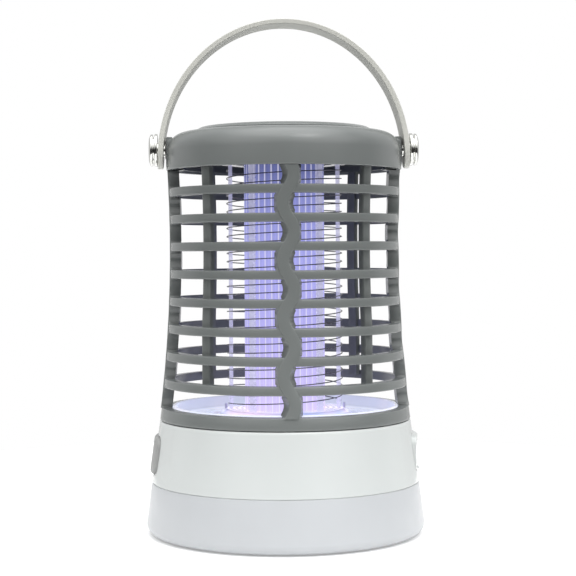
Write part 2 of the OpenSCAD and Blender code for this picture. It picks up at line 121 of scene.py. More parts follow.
def maths(tree, operation, *values):
    """A Math node; each value is a number or another node's output."""
    node = tree.nodes.new("ShaderNodeMath")
    node.operation = operation
    for socket, value in zip(node.inputs, values):
        if isinstance(value, (int, float)):
            socket.default_value = value
        else:
            tree.links.new(value, socket)
    return node.outputs[0]


def mixed(tree, factor, first, second):
    """A colour between two; each is a colour or another node's output."""
    node = tree.nodes.new("ShaderNodeMix")
    node.data_type = "RGBA"
    tree.links.new(factor, node.inputs[0])
    for socket, value in ((node.inputs[6], first), (node.inputs[7], second)):
        if isinstance(value, tuple):
            socket.default_value = value
        else:
            tree.links.new(value, socket)
    return node.outputs[2]


def place_in_object(tree):
    """The x, y and z outputs of the object's own coordinates, in metres."""
    coords = tree.nodes.new("ShaderNodeTexCoord")
    parts = tree.nodes.new("ShaderNodeSeparateXYZ")
    tree.links.new(coords.outputs["Object"], parts.inputs["Vector"])
    return parts.outputs


def noise(tree, scale, detail=2.0, stretch=(1, 1, 1)):
    """Noise in object space; scale is in features per metre."""
    coords = tree.nodes.new("ShaderNodeTexCoord")
    mapping = tree.nodes.new("ShaderNodeMapping")
    mapping.inputs["Scale"].default_value = stretch
    texture = tree.nodes.new("ShaderNodeTexNoise")
    texture.inputs["Scale"].default_value = scale
    texture.inputs["Detail"].default_value = detail
    tree.links.new(coords.outputs["Object"], mapping.inputs["Vector"])
    tree.links.new(mapping.outputs["Vector"], texture.inputs["Vector"])
    return texture.outputs["Fac"]


def remap(tree, value, low, high, start=0.3, end=0.7):
    node = tree.nodes.new("ShaderNodeMapRange")
    node.inputs["From Min"].default_value = start
    node.inputs["From Max"].default_value = end
    node.inputs["To Min"].default_value = low
    node.inputs["To Max"].default_value = high
    tree.links.new(value, node.inputs["Value"])
    return node.outputs["Result"]


def tint(tree, factor, colour, spread):
    """The colour made a little darker and lighter by a 0-1 factor."""
    ramp = tree.nodes.new("ShaderNodeValToRGB")
    for stop, gain in zip(ramp.color_ramp.elements, (1 - spread, 1 + spread)):
        stop.color = tuple(min(1.0, c * gain) for c in colour[:3]) + (1.0,)
    ramp.color_ramp.elements[0].position = 0.35
    ramp.color_ramp.elements[1].position = 0.65
    tree.links.new(factor, ramp.inputs["Fac"])
    return ramp.outputs["Color"]


def bump(tree, shader, height, strength, depth):
    """Bump from a 0-1 height; depth is in metres."""
    node = tree.nodes.new("ShaderNodeBump")
    node.inputs["Strength"].default_value = strength
    node.inputs["Distance"].default_value = depth
    tree.links.new(height, node.inputs["Height"])
    tree.links.new(node.outputs["Normal"], shader.inputs["Normal"])


def plastic(name, colour, roughness, spread=0.03, grain=0.15, **sockets):
    """Moulded plastic: slight tone drift, uneven gloss and a fine grain.

    The render's denoiser leaves blotches where the gloss crosses a roughness of about 0.27, so the
    roughness given here, times 0.85 to 1.2, stays on one side of that.
    """
    made, shader = material(name, colour, roughness, **sockets)
    tree = made.node_tree
    tree.links.new(tint(tree, noise(tree, 45), colour, spread), shader.inputs["Base Color"])
    tree.links.new(
        remap(tree, noise(tree, 160, 4.0), roughness * 0.85, roughness * 1.2), shader.inputs["Roughness"]
    )
    if grain:
        bump(tree, shader, noise(tree, 900, 3.0), grain, 0.000004)
    return made


def clear(name, colour, roughness=0.03, ior=1.47):
    """Clear moulded styrene, with faint flow marks in its gloss."""
    made, shader = material(name, colour, roughness, IOR=ior, Transmission_Weight=1.0)
    tree = made.node_tree
    flow = noise(tree, 60, 3.0, (1, 1, 0.2))
    tree.links.new(remap(tree, flow, roughness * 0.5, roughness * 2), shader.inputs["Roughness"])
    bump(tree, shader, noise(tree, 150, 3.0), 0.08, 0.00006)
    return made


DISH_RING_WAVE = 2600  # radians a metre: turned rings 2.4 mm apart
DISH_FADE = (0.032, 0.045)  # radii between which the painted lamp glow fades to the dish's plain tint, in metres


def dish_material():
    """Clear dish with a painted glow standing in for the lamp's light: painted lavender and pink near the lamp,
    glowing as emission, with fine turned rings.
    """
    made, shader = material("clear_dish_painted_glow", srgb(214, 218, 246), 0.08, Transmission_Weight=0.25, IOR=1.35)
    tree = made.node_tree
    x, y, _ = place_in_object(tree)
    square = maths(tree, "ADD", maths(tree, "MULTIPLY", x, x), maths(tree, "MULTIPLY", y, y))
    radius = maths(tree, "SQRT", square)
    rings = maths(tree, "SINE", maths(tree, "MULTIPLY", radius, DISH_RING_WAVE))
    patches = remap(tree, noise(tree, 38, 2.0), 0, 1, 0.42, 0.6)
    lit = mixed(tree, patches, srgb(196, 208, 240), srgb(240, 226, 244))
    colour = mixed(tree, remap(tree, radius, 0, 0.85, *DISH_FADE), lit, srgb(226, 229, 238))
    tree.links.new(colour, shader.inputs["Base Color"])
    # painted glow: the dish's colour is also its emission, standing in for the lamp's light, and the turned rings
    # make it brighter and dimmer
    tree.links.new(colour, shader.inputs["Emission Color"])
    tree.links.new(remap(tree, rings, 0.2, 0.56, -1, 1), shader.inputs["Emission Strength"])
    bump(tree, shader, rings, 0.25, 0.0003)
    made.cycles.emission_sampling = "NONE"
    return made


def post_material():
    """Frosted clear post, with a painted glow standing in for the lamp's light carried along it."""
    made, shader = material("clear_post_painted_glow", srgb(236, 236, 250), 0.2, Alpha=0.55)
    tree = made.node_tree
    flow = noise(tree, 90, 2.0, (1, 1, 0.15))
    tree.links.new(tint(tree, flow, srgb(236, 236, 250), 0.05), shader.inputs["Base Color"])
    # painted glow: a faint lavender emission standing in for the lamp's light
    shader.inputs["Emission Color"].default_value = srgb(226, 224, 255)
    shader.inputs["Emission Strength"].default_value = 0.25
    tree.links.new(remap(tree, noise(tree, 140, 3.0), 0.14, 0.26), shader.inputs["Roughness"])
    made.cycles.emission_sampling = "NONE"
    return made


def metal(name, colour, roughness):
    made, shader = material(name, colour, roughness, Metallic=1.0)
    tree = made.node_tree
    brushed = noise(tree, 700, 2.0, (1, 1, 6))
    tree.links.new(remap(tree, brushed, roughness * 0.7, roughness * 1.5), shader.inputs["Roughness"])
    tree.links.new(tint(tree, noise(tree, 120), colour, 0.05), shader.inputs["Base Color"])
    return made


def lamp_material():
    """Ribbed violet tube, lit from inside: deep blue at the top, pale violet at the bottom, with painted white
    highlights along the rib crests.
    """
    made, shader = material("lamp_glow", srgb(104, 100, 132), 0.2, Coat_Weight=0.4, Coat_Roughness=0.1)
    tree = made.node_tree
    x, y, z = place_in_object(tree)
    height = remap(tree, z, 0, 1, LAMP_BOTTOM * MM, LAMP_TOP * MM)
    ramp = tree.nodes.new("ShaderNodeValToRGB")
    stops = (
        (0.0, srgb(222, 208, 250)),
        (0.30, srgb(184, 179, 238)),
        (0.62, srgb(166, 168, 232)),
        (0.86, srgb(132, 138, 198)),
        (1.0, srgb(78, 86, 132)),
    )
    for _ in stops[2:]:
        ramp.color_ramp.elements.new(0.5)
    for stop, (place, colour) in zip(ramp.color_ramp.elements, stops):
        stop.position, stop.color = place, colour
    tree.links.new(height, ramp.inputs["Fac"])
    # painted highlight: white glints mixed into the glow along the rib crests, in place of the soft light's
    # reflection
    crest = maths(tree, "COSINE", maths(tree, "MULTIPLY", maths(tree, "ARCTAN2", y, x), LAMP_RIBS))
    painted_crest_glint = remap(tree, crest, 0, 0.7, 0.72, 1.0)
    glow = mixed(tree, painted_crest_glint, ramp.outputs["Color"], srgb(244, 240, 255))
    tree.links.new(glow, shader.inputs["Emission Color"])
    shader.inputs["Emission Strength"].default_value = 0.9
    made.cycles.emission_sampling = "NONE"
    return made


GREY = plastic("grey_moulding", srgb(112, 116, 115), 0.22, 0.02, 0)
CAP_GREY = plastic("grey_cap_gloss", srgb(119, 123, 122), 0.22, 0.02, 0)
WHITE = plastic("white_gloss", srgb(201, 205, 204), 0.22, 0.008, 0, Coat_Weight=0.2, Coat_Roughness=0.08)
MILK = plastic("milky_diffuser", srgb(186, 189, 192), 0.34, 0.012, 0, Sheen_Weight=0.15, Sheen_Roughness=0.5)
STRAP = plastic("strap_grey", srgb(212, 212, 205), 0.42, 0.015, 0)
BUTTON = plastic("button_rubber", srgb(150, 151, 150), 0.5, 0.02, 0.12)
RUBBER = plastic("dark_rubber", srgb(70, 70, 72), 0.7, 0.05, 0.6)
CHROME = metal("chrome", srgb(222, 222, 218), 0.07)
STEEL = metal("plain_steel", srgb(180, 180, 178), 0.4)
WIRE = metal("grid_wire", srgb(120, 118, 128), 0.18)
CLEAR = clear("clear_styrene", (0.93, 0.94, 1.0, 1.0))
DISH = dish_material()
POST = post_material()
LAMP = lamp_material()
LEAD = plastic("lead_sleeve", srgb(214, 212, 238), 0.35)
BLACK = plastic("black_plastic", srgb(40, 40, 42), 0.45)
BOARD = plastic("green_board", srgb(30, 92, 52), 0.35, 0.12)
BOARD_WHITE = plastic("white_board", srgb(225, 226, 222), 0.4, 0.03)
LED = plastic("led_yellow", srgb(230, 205, 90), 0.34, 0.05)
CELL = plastic("cell_wrap", srgb(60, 110, 180), 0.34, 0.04, 0.05)
TAPE = plastic("winding_tape", srgb(215, 190, 70), 0.35, 0.05)
SLEEVE = plastic("capacitor_sleeve", srgb(40, 60, 130), 0.34, 0.04)


# ---------- mesh tools ----------


def build(name, points, faces, paint, body, slot, replaced=(), sharp=35):
    """A mesh object from millimetre points, smooth except at edges over the sharp angle."""
    mesh = bpy.data.meshes.new(name)
    mesh.from_pydata([Vector(p) * MM for p in points], [], faces)
    work = bmesh.new()
    work.from_mesh(mesh)
    bmesh.ops.remove_doubles(work, verts=work.verts, dist=1e-7)
    bmesh.ops.recalc_face_normals(work, faces=work.faces)
    work.to_mesh(mesh)
    work.free()
    for polygon in mesh.polygons:
        polygon.use_smooth = True
    mesh.set_sharp_from_angle(angle=math.radians(sharp))
    made = bpy.data.objects.new(name, mesh)
    bpy.context.scene.collection.objects.link(made)
    mesh.materials.append(paint)
    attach(made, body)
    if replaced:
        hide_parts(*replaced)
    return made


def circle(radius, z, count):
    """Points evenly round a level circle."""
    turn = [2 * math.pi * k / count for k in range(count)]
    return [(radius * math.cos(a), radius * math.sin(a), z) for a in turn]


def bridge(rings):
    """Faces between each two neighbours of a list of closed rings of point numbers."""
    faces = []
    for a, b in zip(rings, rings[1:]):
        for i in range(len(a)):
            j = (i + 1) % len(a)
            faces.append((a[i], a[j], b[j], b[i]))
    return faces


def rounded(corners, steps=5):
    """A closed outline from (x, y, radius) corners, with each corner turned into an arc."""
    outline = []
    count = len(corners)
    for i, (x, y, radius) in enumerate(corners):
        here = Vector((x, y))
        if radius <= 0:
            outline.append(here)
            continue
        before = (Vector(corners[i - 1][:2]) - here).normalized()
        after = (Vector(corners[(i + 1) % count][:2]) - here).normalized()
        half = before.angle(after) / 2
        reach = radius / math.tan(half)
        centre = here + (before + after).normalized() * (radius / math.sin(half))
        start, end = here + before * reach - centre, here + after * reach - centre
        turn = start.angle_signed(end)
        for k in range(steps + 1):
            outline.append(centre + Matrix.Rotation(-turn * k / steps, 2) @ start)
    return outline


def arc(cx, cy, radius, first, last, steps=8):
    """Points of an arc as sharp corners; angles in degrees."""
    angles = [math.radians(first + (last - first) * k / steps) for k in range(steps + 1)]
    return [(cx + radius * math.cos(a), cy + radius * math.sin(a), 0) for a in angles]


def lathe(outline, segments=SEGMENTS, axis="Z", centre=(0, 0, 0)):
    """Points and faces of a closed outline of (radius, height) turned about an axis."""
    points, faces = [], []
    count = len(outline)
    for s in range(segments):
        a = 2 * math.pi * s / segments
        for r, h in outline:
            r = max(r, 0.0)
            if axis == "Z":
                p = (r * math.cos(a), r * math.sin(a), h)
            else:
                p = (h, r * math.cos(a), r * math.sin(a))
            points.append(Vector(p) + Vector(centre))
    for s in range(segments):
        for i in range(count):
            j, t = (i + 1) % count, (s + 1) % segments
            faces.append((s * count + i, s * count + j, t * count + j, t * count + i))
    return points, faces


def joined(*shapes):
    """Several (points, faces) shapes as one."""
    points, faces = [], []
    for more_points, more_faces in shapes:
        base = len(points)
        points += more_points
        faces += [tuple(i + base for i in face) for face in more_faces]
    return points, faces


def lofted(loops, cap_ends=True):
    """Points and faces through closed loops with equal counts."""
    count = len(loops[0])
    points = [p for loop in loops for p in loop]
    faces = bridge([range(k * count, (k + 1) * count) for k in range(len(loops))])
    if cap_ends:
        faces.append(tuple(range(count))[::-1])
        faces.append(tuple((len(loops) - 1) * count + i for i in range(count)))
    return points, faces


# ---------- camera, floor and light ----------

CAMERA_DISTANCE = 0.660
CAMERA_HEIGHT = 0.1213
CAMERA_TURN = math.radians(1.9)
CAMERA_ROLL = math.radians(-0.33)
CAMERA_LENS = 94.8
CAMERA_SHIFT = (0.0064, -0.063)


def add_camera():
    data = bpy.data.cameras.new("camera")
    data.sensor_width = 36
    data.lens = CAMERA_LENS
    data.shift_x, data.shift_y = CAMERA_SHIFT
    camera = bpy.data.objects.new("camera", data)
    place = Vector((-math.sin(CAMERA_TURN), -math.cos(CAMERA_TURN), 0)) * CAMERA_DISTANCE
    place.z = CAMERA_HEIGHT
    camera.matrix_world = (
        Matrix.Translation(place)
        @ Matrix.Rotation(-CAMERA_TURN, 4, "Z")
        @ Matrix.Rotation(math.pi / 2, 4, "X")
        @ Matrix.Rotation(CAMERA_ROLL, 4, "Z")
    )
    bpy.context.scene.collection.objects.link(camera)
    bpy.context.scene.camera = camera


# soft lights of the studio, as (direction, strength, cosines at which the light starts and is full)
SOFTBOXES = (
    ((0.5, -0.6, 0.62), 1.75, 0.78, 0.96), ((-0.5, -0.6, 0.62), 1.25, 0.78, 0.96), ((0, -0.1, 1), 3.0, 0.78, 0.96),
    ((0.31, -0.55, 0.82), 3.5, 0.975, 0.992),
)
# strength of the room's light from straight below, from above, and from the wall behind
ROOM_BELOW, ROOM_ABOVE, ROOM_BEHIND = 0.05, 0.9, 0.9
FLOOR_R, FLOOR_TONE, FLOOR_GLOW = 0.32, 0.85, 0.2  # radius in metres


def studio_world():
    """Soft light from above and from the white wall behind; the backdrop itself stays white."""
    world = bpy.data.worlds.new("studio")
    world.use_nodes = True
    tree = world.node_tree
    backdrop = tree.nodes["Background"]
    backdrop.inputs["Color"].default_value = (1, 1, 1, 1)
    backdrop.inputs["Strength"].default_value = 1.0
    coords = tree.nodes.new("ShaderNodeTexCoord")
    parts = tree.nodes.new("ShaderNodeSeparateXYZ")
    tree.links.new(coords.outputs["Generated"], parts.inputs["Vector"])
    room = tree.nodes.new("ShaderNodeBackground")
    above = remap(tree, parts.outputs["Z"], ROOM_BELOW, ROOM_ABOVE, 0.05, 0.9)
    behind = remap(tree, parts.outputs["Y"], 0, ROOM_BEHIND, -0.05, 0.35)
    total = maths(tree, "MAXIMUM", above, behind)
    for direction, strength, start, full in SOFTBOXES:
        facing = tree.nodes.new("ShaderNodeVectorMath")
        facing.operation = "DOT_PRODUCT"
        facing.inputs[1].default_value = Vector(direction).normalized()
        tree.links.new(coords.outputs["Generated"], facing.inputs[0])
        soft = remap(tree, facing.outputs["Value"], 0, strength, start, full)
        total = maths(tree, "ADD", total, soft)
    tree.links.new(total, room.inputs["Strength"])
    path = tree.nodes.new("ShaderNodeLightPath")
    mix = tree.nodes.new("ShaderNodeMixShader")
    direct = maths(tree, "MAXIMUM", path.outputs["Is Camera Ray"], path.outputs["Is Transmission Ray"])
    tree.links.new(direct, mix.inputs[0])
    tree.links.new(room.outputs[0], mix.inputs[1])
    tree.links.new(backdrop.outputs[0], mix.inputs[2])
    tree.links.new(mix.outputs[0], tree.nodes["World Output"].inputs["Surface"])
    return world


def add_stage():
    scene = bpy.context.scene
    scene.view_settings.view_transform = "Standard"
    scene.world = studio_world()
    mesh = bpy.data.meshes.new("floor")
    edge = circle(FLOOR_R, 0, 96)
    mesh.from_pydata(edge, [], [tuple(range(len(edge)))])
    floor = bpy.data.objects.new("floor", mesh)
    tone = (FLOOR_TONE,) * 3 + (1.0,)
    paint, shader = material("floor_white", tone, 0.8, Specular_IOR_Level=0.1)
    tree = paint.node_tree
    tree.links.new(tint(tree, noise(tree, 3), tone, 0.01), shader.inputs["Base Color"])
    shader.inputs["Emission Color"].default_value = (1, 1, 1, 1)
    shader.inputs["Emission Strength"].default_value = FLOOR_GLOW
    paint.cycles.emission_sampling = "NONE"
    mesh.materials.append(paint)
    scene.collection.objects.link(floor)


# ---------- cage ----------


def wave_x(z):
    """Sideways place of a wavy bar's centre line."""
    return WAVE_SWING * math.sin(math.pi * (z - TOP_RING_Z) / RING_PITCH)


def wave_half(z):
    """Half the bar's level width: the bar keeps its width square to its run."""
    slope = math.pi * WAVE_SWING / RING_PITCH * math.cos(math.pi * (z - TOP_RING_Z) / RING_PITCH)
    return WAVE_W / 2 * math.sqrt(1 + slope * slope)


def ring_z(i):
    """Middle height of a ring, counted from the top."""
    return TOP_RING_Z - RING_PITCH * i


LATTICE_EDGE = 0.5  # rounding of the cage's outer edges
EDGE_ANGLES = (0, 30, 60, 90)  # the steps of that rounding
WINDOW_CORNER = 1.1  # rounding of a window's corners
RING_DEPTH, BAR_DEPTH = 4.0, 4.5
COLLAR_R, COLLAR_INNER_R = 48.3, 46.2  # the plain collar that stands up inside the cap
COLLAR_TOP = CAP_BOTTOM + 5.7
BAR_FOOT = 6.1  # half width of a wavy bar at its inner side
BAR_DRAFT = 2.1  # how far its other flank leans in
SKIRT_R, SKIRT_INNER_R, SKIRT_LOW = 51.3, 49.8, 46.2  # the skirt that stands in the housing's trough


def window_rows():
    """(lowest, highest) height of each row of windows, from the top."""
    rows = [(ring_z(0) + RING_H / 2, CAP_BOTTOM - 0.1 + WINDOW_CORNER)]
    rows += [(ring_z(i) + RING_H / 2, ring_z(i - 1) - RING_H / 2) for i in range(1, RING_COUNT)]
    rows.append((CAGE_RIM_TOP, ring_z(RING_COUNT - 1) - RING_H / 2))
    return rows


def window_outline(low, high, across=26, up=9, turns=3):
    """One window as a loop of (bar, t, z, nt, nz): t is measured sideways from bar 0 or bar 1.

    The loop runs bottom, right, top, left, and each side starts and ends in the middle of a corner.
    """
    c = WINDOW_CORNER
    left = lambda z: wave_x(z) + wave_half(z)
    right = lambda z: wave_x(z) - wave_half(z)

    def corner(bar, sx, sz, first, last):
        edge_z = low if sz < 0 else high
        side = left if bar == 0 else right
        cz = edge_z - sz * c
        cx = side(cz) - sx * c
        out = []
        for k in range(turns + 1):
            a = math.radians(first + (last - first) * k / turns)
            out.append((bar, cx + c * math.cos(a), cz + c * math.sin(a), math.cos(a), math.sin(a)))
        return out

    lo_left_b = corner(0, -1, -1, 225, 270)
    lo_right_a = corner(1, 1, -1, 270, 315)
    lo_right_b = corner(1, 1, -1, 315, 360)
    hi_right_a = corner(1, 1, 1, 0, 45)
    hi_right_b = corner(1, 1, 1, 45, 90)
    hi_left_a = corner(0, -1, 1, 90, 135)
    hi_left_b = corner(0, -1, 1, 135, 180)
    lo_left_a = corner(0, -1, -1, 180, 225)

    def level(z, nz, flip):
        out = [("mix", k / across, z, 0.0, nz) for k in range(1, across)]
        return out[::-1] if flip else out

    def side(bar, sx, flip):
        f = left if bar == 0 else right
        out = []
        for k in range(1, up):
            z = low + c + (high - low - 2 * c) * k / up
            out.append((bar, f(z), z, sx, 0.0))
        return out[::-1] if flip else out

    return {
        "bottom": lo_left_b + level(low, -1, False) + lo_right_a,
        "right": lo_right_b + side(1, 1, False) + hi_right_a,
        "top": hi_right_b + level(high, 1, True) + hi_left_a,
        "left": hi_left_b + side(0, -1, True) + lo_left_a,
    }


def lattice_radius(z):
    return cage_r(z) if z <= CAP_BOTTOM - 0.05 else COLLAR_R


def lattice_point(quadrant, entry, spread, depth):
    """A point of a window's loop: spread moves it out of (+) or into (-) the plastic, depth moves it inwards."""
    bar, t, z, nt, nz = entry
    ring_side, bar_side = spread
    z_out = z + nz * ring_side
    radius = lattice_radius(z_out)
    base = -math.pi / 2 + quadrant * math.pi / 2
    if bar == "mix":
        # the angle runs evenly between the two bars' corners
        r = lattice_radius(z)
        c = WINDOW_CORNER
        edge = z + c if nz < 0 else z - c
        first = (wave_x(edge) + wave_half(edge) + c) / r
        last = math.pi / 2 + (wave_x(edge) - wave_half(edge) - c) / r
        angle = base + first + (last - first) * t
    else:
        foot = t + nt * bar_side
        angle = base + (math.pi / 2 if bar == 1 else 0) + foot / lattice_radius(z)
    r = radius - depth
    return (r * math.cos(angle), r * math.sin(angle), z_out)


def deep_point(quadrant, entry, row_sign):
    """A point of the window's loop on the cage's inner side, where a wavy bar's flank has spread out."""
    bar, t, z, nt, nz = entry
    if bar == "mix":
        return lattice_point(quadrant, entry, (-0.1, 0), RING_DEPTH)
    bulging = row_sign > 0 if bar == 0 else row_sign < 0
    if bulging:
        foot = BAR_FOOT if bar == 0 else -BAR_FOOT
        share = abs(nt)
        moved = (bar, t + (foot - t) * share, z, nt, nz)
        return lattice_point(quadrant, moved, (-0.1, 0), RING_DEPTH + (BAR_DEPTH - RING_DEPTH) * share)
    return lattice_point(quadrant, entry, (-0.1, -BAR_DRAFT), RING_DEPTH + (BAR_DEPTH - RING_DEPTH) * abs(nt))


def cage_lattice():
    """Rings and wavy bars as one skin: every window is a loop, and strips of faces join neighbouring loops."""
    rows = window_rows()
    points, faces = [], []
    loops = {}
    for row, (low, high) in enumerate(rows):
        sides = window_outline(low, high)
        sign = 1 if row % 2 == 0 else -1
        for q in range(4):
            for name, entries in sides.items():
                layers = []
                for degrees in EDGE_ANGLES:
                    a = math.radians(degrees)
                    out = LATTICE_EDGE * (1 - math.sin(a))
                    depth = LATTICE_EDGE * (1 - math.cos(a))
                    layer = []
                    for entry in entries:
                        layer.append(len(points))
                        points.append(lattice_point(q, entry, (out, out), depth))
                    layers.append(layer)
                layer = []
                for entry in entries:
                    layer.append(len(points))
                    points.append(deep_point(q, entry, sign))
                layers.append(layer)
                loops[row, q, name] = layers
                for a, b in zip(layers, layers[1:]):
                    faces += [(a[i], a[i + 1], b[i + 1], b[i]) for i in range(len(a) - 1)]

    def strip(first, second):
        """Faces between two equally long rows of points that run in opposite directions."""
        back = second[::-1]
        return [(first[i], first[i + 1], back[i + 1], back[i]) for i in range(len(first) - 1)]

    last = len(rows) - 1
    for layer, flip in ((0, False), (-1, True)):
        sheet = []
        for row in range(len(rows)):
            for q in range(4):
                right = loops[row, (q + 1) % 4, "left"][layer]
                sheet += strip(loops[row, q, "right"][layer], right)
                if row < last:
                    sheet += strip(loops[row, q, "bottom"][layer], loops[row + 1, q, "top"][layer])
                    sheet.append((
                        loops[row, q, "right"][layer][0],
                        loops[row, (q + 1) % 4, "left"][layer][-1],
                        loops[row + 1, (q + 1) % 4, "left"][layer][0],
                        loops[row + 1, q, "right"][layer][-1],
                    ))
        faces += [f[::-1] for f in sheet] if flip else sheet

    def rim(row, side, levels):
        """Closes the lattice at its top or bottom: levels are (radius, height) going round from outside to inside."""
        order = 1 if side == "bottom" else -1
        outer, inner = [], []
        for q in range(4):
            outer += loops[row, q, side][0][::order]
            inner += loops[row, q, side][-1][::order]
        rings = [outer]
        for radius, z in levels:
            ring = []
            for i in outer:
                x, y, _ = points[i]
                a = math.atan2(y, x)
                ring.append(len(points))
                points.append((radius * math.cos(a), radius * math.sin(a), z))
            rings.append(ring)
        rings.append(inner)
        faces.extend(bridge(rings))

    e = LATTICE_EDGE
    bottom = CAGE_BOTTOM
    rim(last, "bottom", [
        (cage_r(bottom + 2.6), bottom + 2.6), (cage_r(bottom + e), bottom + e),
        (cage_r(bottom) - 0.15, bottom + 0.15), (cage_r(bottom) - e, bottom),
        (SKIRT_R, bottom), (SKIRT_R, SKIRT_LOW), (SKIRT_INNER_R, SKIRT_LOW), (49.6, bottom), (49.6, bottom + 4.4),
    ])
    rim(0, "top", [(COLLAR_R, COLLAR_TOP), (COLLAR_INNER_R, COLLAR_TOP)])
    return points, faces


def wavy_faces():
    """The raised faces of the four wavy bars, which run unbroken over the rings."""
    shapes = []
    low, high = CAGE_RIM_TOP - 0.4, CAP_BOTTOM - 0.1
    steps = 220
    for q in range(4):
        middle = -math.pi / 2 + q * math.pi / 2
        loops = []
        for i in range(steps + 1):
            z = low + (high - low) * i / steps
            x, half, r = wave_x(z), wave_half(z) - 0.1, cage_r(z)
            loop = []
            for side, lift in (
                (-half, -1.0), (-half, 0.05), (-half + 0.1, 0.22), (-half + 0.28, 0.34), (-half + 0.5, 0.38),
                (half - 0.5, 0.38), (half - 0.28, 0.34), (half - 0.1, 0.22), (half, 0.05), (half, -1.0),
            ):
                a = middle + (x + side) / r
                loop.append(((r + lift) * math.cos(a), (r + lift) * math.sin(a), z))
            loops.append(loop)
        shapes.append(lofted(loops))
    return joined(*shapes)


def straight_bars():
    """Four plain bars behind the rings."""
    shapes = []
    half = math.radians(2.8)
    low, high = ring_z(RING_COUNT - 1), CAP_BOTTOM + 1
    e = 0.5
    for k in range(4):
        middle = math.pi / 4 + k * math.pi / 2
        loops = []
        for i in range(21):
            z = low + (high - low) * i / 20
            r = min(cage_r(z), COLLAR_R + 2.0)
            w = half * (r - 3.4)
            section = rounded([
                (r - 2.4, -w, e), (r - 2.4, w, e), (r - 5.4, w, e), (r - 5.4, -w, e),
            ], 3)
            loops.append([
                (p.x * math.cos(middle) - p.y * math.sin(middle), p.x * math.sin(middle) + p.y * math.cos(middle), z)
                for p in section
            ])
        shapes.append(lofted(loops))
    return joined(*shapes)


def cage_ceiling():
    z = COLLAR_TOP
    plate = lathe(rounded([(0, z, 0), (48.5, z, 0.3), (48.5, z + 2, 0.5), (0, z + 2, 0)]))
    bosses = []
    for k in range(4):
        a = math.pi / 4 + k * math.pi / 2
        place = (30 * math.cos(a), 30 * math.sin(a), 0)
        outline = rounded([(1.45, z + 1.5, 0), (3.5, z + 1.5, 0), (3.5, z + 7, 0.4), (1.45, z + 7, 0.2)])
        bosses.append(lathe(outline, 32, "Z", place))
    return joined(plate, *bosses)


# ---------- cap ----------


def cap_shell():
    """Cap with a big rounded shoulder, a rolled lower edge and a shallow seat for the disc."""
    sx, sz = CAP_R - 0.2 - CAP_EDGE_R, CAP_TOP - CAP_EDGE_R
    inside = CAP_EDGE_R - WALL
    seat_r, seat_z = DISC_R + 0.4, CAP_TOP - 1.4
    corners = [(CAP_R - WALL, CAP_BOTTOM, 0.3), (CAP_R, CAP_BOTTOM, 0.55)]
    corners += arc(sx, sz, CAP_EDGE_R, 0, 88, 16)
    corners += [(seat_r, CAP_TOP, 0.35), (seat_r, seat_z, 0.2), (0, seat_z, 0)]
    corners += [(0, seat_z - WALL, 0), (sx, seat_z - WALL, 0)]
    corners += arc(sx, sz, inside, 80, 10, 8)
    return lathe(rounded(corners))


def pivot_lug(sign):
    """An ear with a flat outer face that leans in a little towards its foot."""
    low, high, half, face = 157.6, 171.1, 6.0, 50.9
    loops = []
    for x, grow in ((COLLAR_R + 0.1, 0.0), (face - 0.5, 0.0), (face - 0.15, -0.15), (face, -0.5)):
        outline = rounded([
            (-half - grow, low - grow, 2.5), (half + grow, low - grow, 2.5),
            (half + grow, high + grow, 2.5), (-half - grow, high + grow, 2.5),
        ], 6)
        loops.append([(sign * x, p.x, p.y) for p in outline])
    return lofted(loops)


def cap_disc():
    z = CAP_TOP - 1.4
    return lathe(rounded([
        (0, z, 0), (DISC_R - 0.7, z, 0.1), (DISC_R - 0.7, CAP_TOP + 0.35, 0.1), (DISC_R, CAP_TOP + 0.35, 0.2),
        (DISC_R, CAP_TOP + 0.7, 0.35), (DISC_R - 2.4, DISC_TOP, 1.2), (0, DISC_TOP, 0),
    ]))


# ---------- handle ----------

STRAP_IN, STRAP_OUT = 52.1, 54.4
STRAP_CENTRE_Z = 161.3


